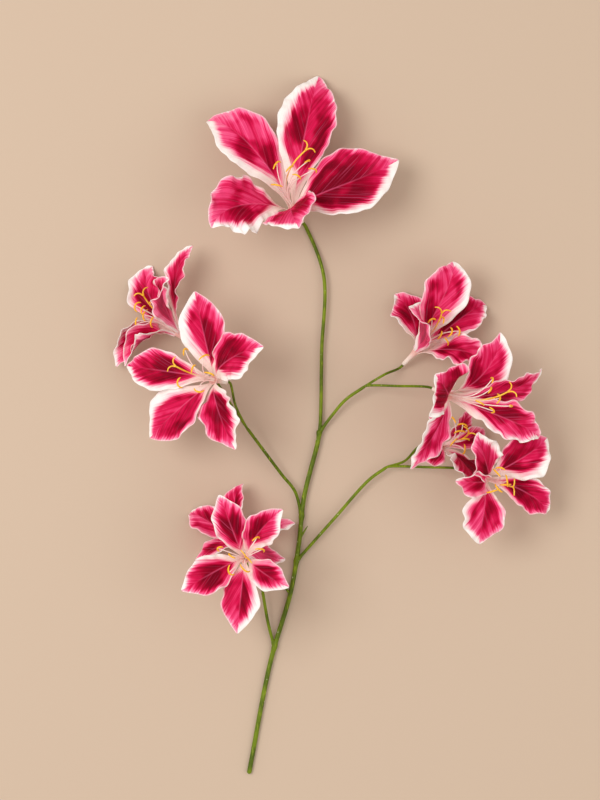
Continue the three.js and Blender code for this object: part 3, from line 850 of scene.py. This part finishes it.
seats = {
    bloom: throat - facings[bloom] * (receptacle_length - stalk_grip)
    for bloom, throat in throats.items()
}
lower_points = curve_through([
    at(-80, -356, main_radius), at(-58, -242, 3.4), at(-37, -169, 4), at(-29, -120, 4.5),
    at(-24, -75, 4.8), at(-10, -19, 5), at(-8, -6, 5),
], point_spacing)
upper_points = curve_through([
    at(-11, -20, 5), at(-8, -6, 5), at(-6, 74, 6), at(-4, 150, 7),
    seats["top_bloom"] - facings["top_bloom"] * 13 * mm, seats["top_bloom"],
], point_spacing)
branch_distances = {"upper_right": 355, "upper_left": 268, "lower_right": 222, "lower_left": 132}


def on_lower_stem(distance):
    """The place on the lower stem at that distance from its cut end, in millimetres."""
    left = distance * mm
    for a, b in zip(lower_points, lower_points[1:]):
        if left < (b - a).length:
            return a.lerp(b, left / (b - a).length)
        left -= (b - a).length
    return lower_points[-1]


bm = bmesh.new()
add_rod(bm, lower_points, stem_radii(lower_points, main_radius, branch_distances.values()), 20)
add_rod(bm, upper_points, stem_radii(upper_points, upper_radius), 20)
for distance, reach in ((245, (8.5, 13, 2.5)), (188, (-7.5, 9, 3))):
    start = on_lower_stem(distance)
    points = curve_through([start, start + Vector(reach) * 0.6 * mm, start + Vector(reach) * mm],
                           1 * mm)
    add_rod(bm, points, np.linspace(*shoot_radii, len(points)) * mm, 12)
finish_stem("main_stem_moulding", bm, "main_stem")

for branch, via, fork, stalks in (
    ("upper_left", [(-33, -69, 8), (-47, -51, 10)], (-82, -4, 15),
     {"upper_left_front_bloom": (-93, 18, 21), "upper_left_rear_bloom": (-106, 32, 14)}),
    ("upper_right", [(5, 9, 8), (18, 24, 11)], (38, 38, 15),
     {"upper_right_outer_bloom": (58, 50, 19), "upper_right_front_bloom": (72, 38, 27)}),
    ("lower_right", [(7, -96, 7), (42, -57, 9)], (60, -44, 10),
     {"lower_right_front_bloom": (100, -44, 15), "lower_right_rear_bloom": (78, -38, 8)}),
    ("lower_left", [(-60, -204, 6)], (-66, -170, 9),
     {"lower_left_front_bloom": (-74, -151, 18), "lower_left_rear_bloom": (-70, -152, 6)}),
):
    root = on_lower_stem(branch_distances[branch])
    trunk = curve_through([root, *(at(*place) for place in via), at(*fork)], point_spacing)
    bm = bmesh.new()
    add_rod(bm, trunk, stem_radii(trunk, branch_radius, (3,)), 16)
    leaving = (trunk[-1] - trunk[-3]).normalized()
    for bloom, middle in stalks.items():
        before = at(*fork) - leaving * 3.4 * mm
        approach = seats[bloom] - facings[bloom] * 9 * mm
        route = [before, at(*fork), at(*middle), approach, seats[bloom]]
        stalk = curve_through(route, point_spacing)
        add_rod(bm, stalk, stem_radii(stalk, stalk_radius), 16)
    finish_stem(f"{branch}_branch_moulding", bm, f"{branch}_branch")


# ------------------------------------------------------------------------------------------------
# The stage. The spray lies on a plain pale surface, under soft light from above, and the camera
# looks straight down on it.

surface_colour = "#C7B19C"
bpy.ops.mesh.primitive_plane_add(size=12)
floor = bpy.context.object
floor.name = "floor"
floor_finish, tree, surface = new_finish("pale_surface", 0.9)
surface.inputs["Base Color"].default_value = colour(surface_colour)
floor.data.materials.append(floor_finish)

world = bpy.data.worlds.new("studio")
world.use_nodes = True
world.node_tree.nodes["Background"].inputs["Color"].default_value = colour("#FFF8F0")
world.node_tree.nodes["Background"].inputs["Strength"].default_value = 0.7
bpy.context.scene.world = world


def soft_light(name, place, size, power):
    """A round area light that faces the middle of the surface."""
    light = bpy.data.lights.new(name, "AREA")
    light.shape = "DISK"
    light.size = size
    light.energy = power
    lamp = bpy.data.objects.new(name, light)
    lamp.location = place
    lamp.rotation_mode = "QUATERNION"
    lamp.rotation_quaternion = (-Vector(place)).to_track_quat("-Z", "Y")
    bpy.context.scene.collection.objects.link(lamp)


soft_light("key_light", (-1.4, 0.4, 2.4), 1.6, 38)
soft_light("fill_light", (1.6, -0.6, 2.2), 2.2, 14)

camera_height = 3.05
lens = bpy.data.cameras.new("camera")
lens.lens = 135
lens.sensor_width = 36
camera = bpy.data.objects.new("camera", lens)
camera.location = (-0.0321, 0.0256, camera_height)
bpy.context.scene.collection.objects.link(camera)
bpy.context.scene.camera = camera
bpy.context.scene.view_settings.view_transform = "Standard"
